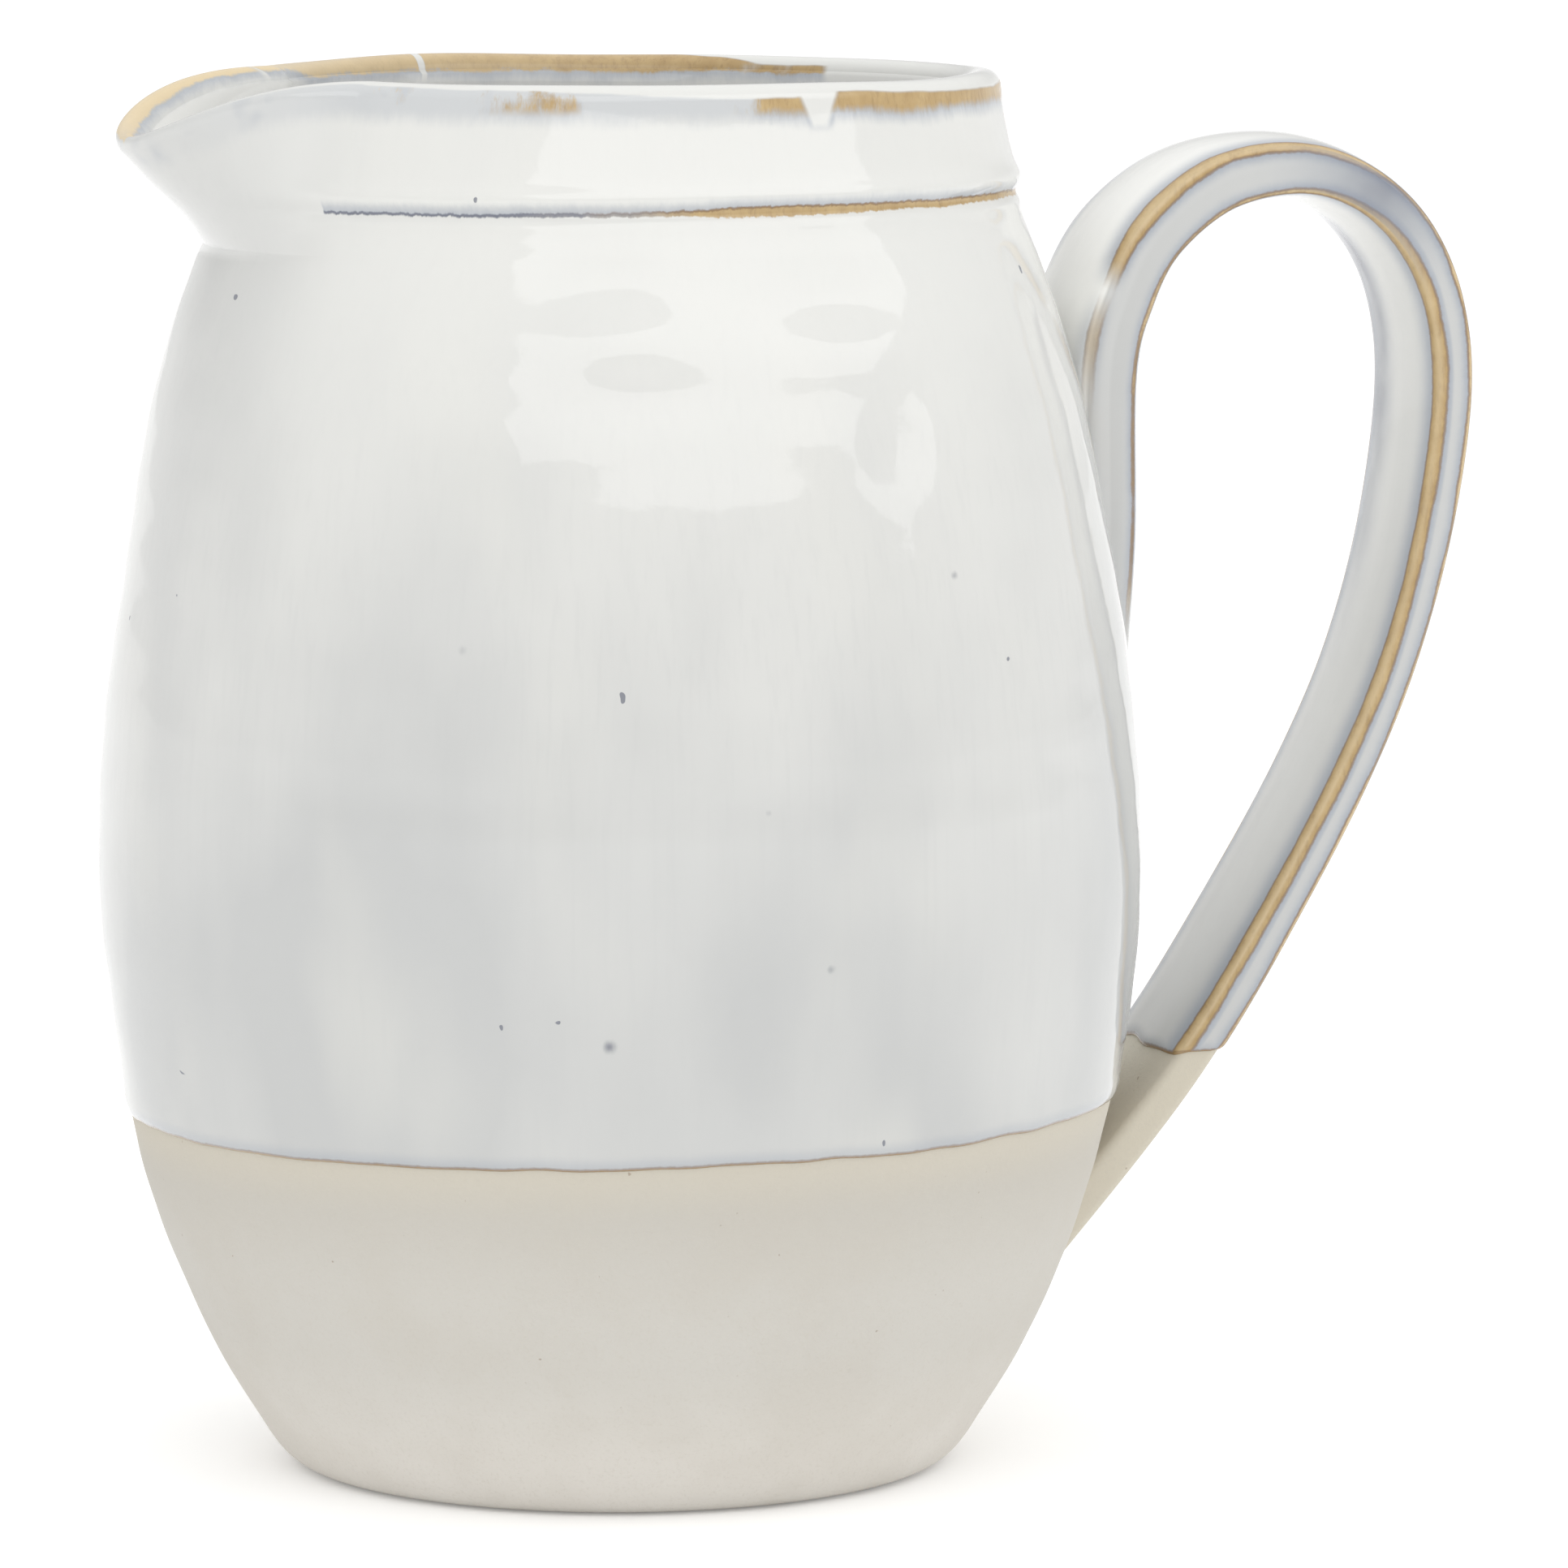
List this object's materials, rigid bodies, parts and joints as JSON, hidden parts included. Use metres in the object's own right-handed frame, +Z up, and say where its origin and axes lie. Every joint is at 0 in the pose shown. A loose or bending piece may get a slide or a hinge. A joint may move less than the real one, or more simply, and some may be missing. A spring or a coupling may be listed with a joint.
{
  "type": "ceramic pitcher",
  "caption": "Thrown stoneware pitcher with a pinched pouring spout, a tall strap handle, glazed upper body and bare clay base.",
  "frame": {"origin": "centre of the flat foot ring's resting plane, on the axis of the thrown body", "axes": "+Z up along the body's axis, +X towards the handle, -X towards the spout, +Y to the left of a person who looks along +X"},
  "size_m": [0.1756, 0.1294, 0.1734],
  "materials": {
    "stoneware": "bare fired stoneware, matte",
    "stoneware_handle": "bare fired stoneware, matte",
    "slip": "bare fired slip, matte",
    "white_glaze": "glossy off-white glaze",
    "liner_glaze": "glossy off-white glaze",
    "handle_glaze": "glossy off-white glaze, breaking to tan on the edges"
  },
  "bodies": {
    "root": {"body": "stoneware", "handle": "stoneware_handle", "upper_slip_joint": "slip", "lower_slip_joint": "slip", "outer_glaze": "white_glaze", "liner_glaze": "liner_glaze", "handle_glaze": "handle_glaze"}
  },
  "joints": []
}
